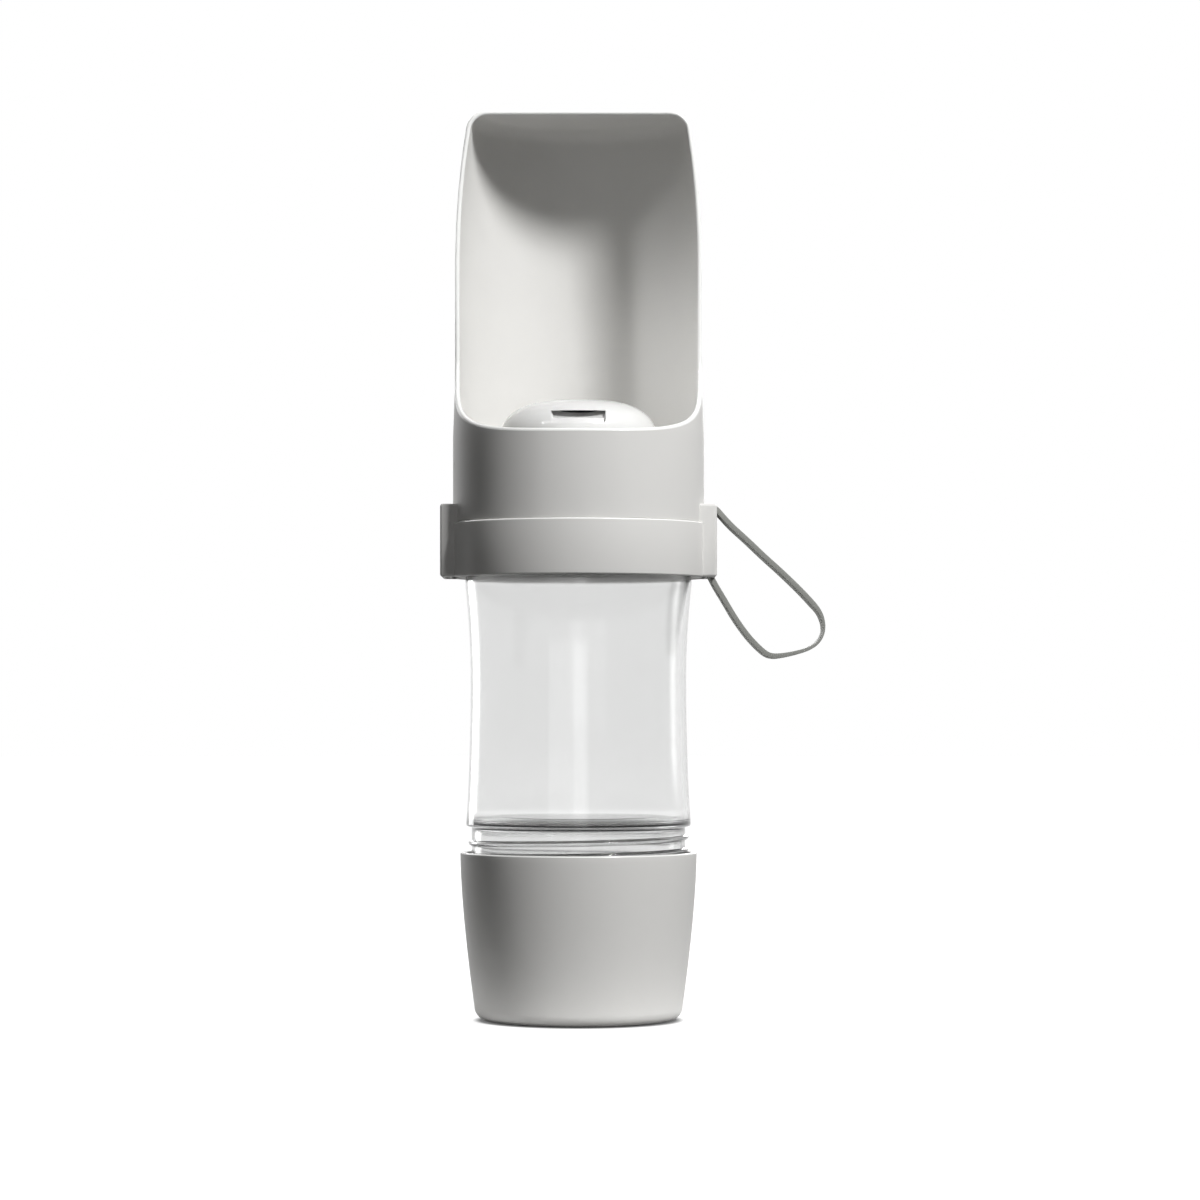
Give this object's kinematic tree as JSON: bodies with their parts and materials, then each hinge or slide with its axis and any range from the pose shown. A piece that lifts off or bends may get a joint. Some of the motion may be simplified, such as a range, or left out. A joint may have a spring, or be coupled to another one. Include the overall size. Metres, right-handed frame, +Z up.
{
  "type": "dog travel water bottle",
  "caption": "Clear travel bottle with a scoop-shaped drinking trough on top, a screw-on food cup below, a press-button valve and a carry strap.",
  "frame": {"origin": "centre of the food cup's base, on the surface the bottle stands on", "axes": "+Z up along the bottle, -Y out of the trough's opening, +X towards the carry strap"},
  "size_m": [0.122, 0.0836, 0.29],
  "materials": {
    "grey_plastic": "fine satin moulded plastic, warm light grey",
    "clear_plastic": "clear glossy plastic",
    "white_plastic": "glossy white plastic",
    "silicone": "soft pale silicone",
    "spring_steel": "bright wire and screws",
    "strap_rubber": "matt grey strap"
  },
  "bodies": {
    "bottle": {"bottle_body": "clear_plastic"},
    "cup_carriage": {"food_cup_seal": "silicone"},
    "cup": {"food_cup": "grey_plastic"},
    "head_carriage": {"neck_gasket": "silicone"},
    "head": {"trough_shell": "grey_plastic", "collar_ring": "grey_plastic", "outlet_dome": "white_plastic", "neck_cap": "white_plastic", "chamber_seal": "silicone", "stem_spring": "spring_steel", "rod_seal": "silicone", "gland_cap": "white_plastic", "button_spring": "spring_steel", "button_bezel": "grey_plastic", "housing_screws": "spring_steel", "strap_anchor": "strap_rubber"},
    "valve": {"valve_stem": "white_plastic", "valve_stopper": "silicone", "stopper_washer": "white_plastic", "cam_follower": "white_plastic"},
    "button": {"release_button": "white_plastic", "push_rod": "white_plastic"},
    "strap": {"carry_strap": "strap_rubber"}
  },
  "joints": [
    {"name": "cup_lift", "type": "slide", "parent": "bottle", "child": "cup_carriage", "axis": [0, 0, 1], "range_m": [-0.006, 0]},
    {"name": "cup_screw", "type": "hinge", "parent": "cup_carriage", "child": "cup", "pos_m": [0, 0, 0.02], "axis": [0, 0, 1], "range_deg": [-540, 0]},
    {"name": "head_lift", "type": "slide", "parent": "bottle", "child": "head_carriage", "axis": [0, 0, 1], "range_m": [0, 0.009]},
    {"name": "head_screw", "type": "hinge", "parent": "head_carriage", "child": "head", "pos_m": [0, 0, 0.16], "axis": [0, 0, 1], "range_deg": [0, 810]},
    {"name": "button_press", "type": "slide", "parent": "head", "child": "button", "axis": [0, -1, 0], "range_m": [0, 0.003], "stiffness_N_per_m": 500, "springref_m": -0.004, "deforming": ["button_spring"]},
    {"name": "valve_lift", "type": "slide", "parent": "head", "child": "valve", "axis": [0, 0, -1], "range_m": [0, 0.003], "stiffness_N_per_m": 300, "springref_m": -0.005, "deforming": ["stem_spring"]},
    {"name": "strap_swing", "type": "hinge", "parent": "head", "child": "strap", "pos_m": [0.04392, 0, 0.16144], "axis": [0, -1, 0], "range_deg": [0, 30]}
  ],
  "couplings": [
    {"joint": "cup_lift", "follows": "cup_screw", "m_per_rad": 0.00063662},
    {"joint": "head_lift", "follows": "head_screw", "m_per_rad": 0.00063662},
    {"joint": "valve_lift", "follows": "button_press", "ratio": 1}
  ]
}
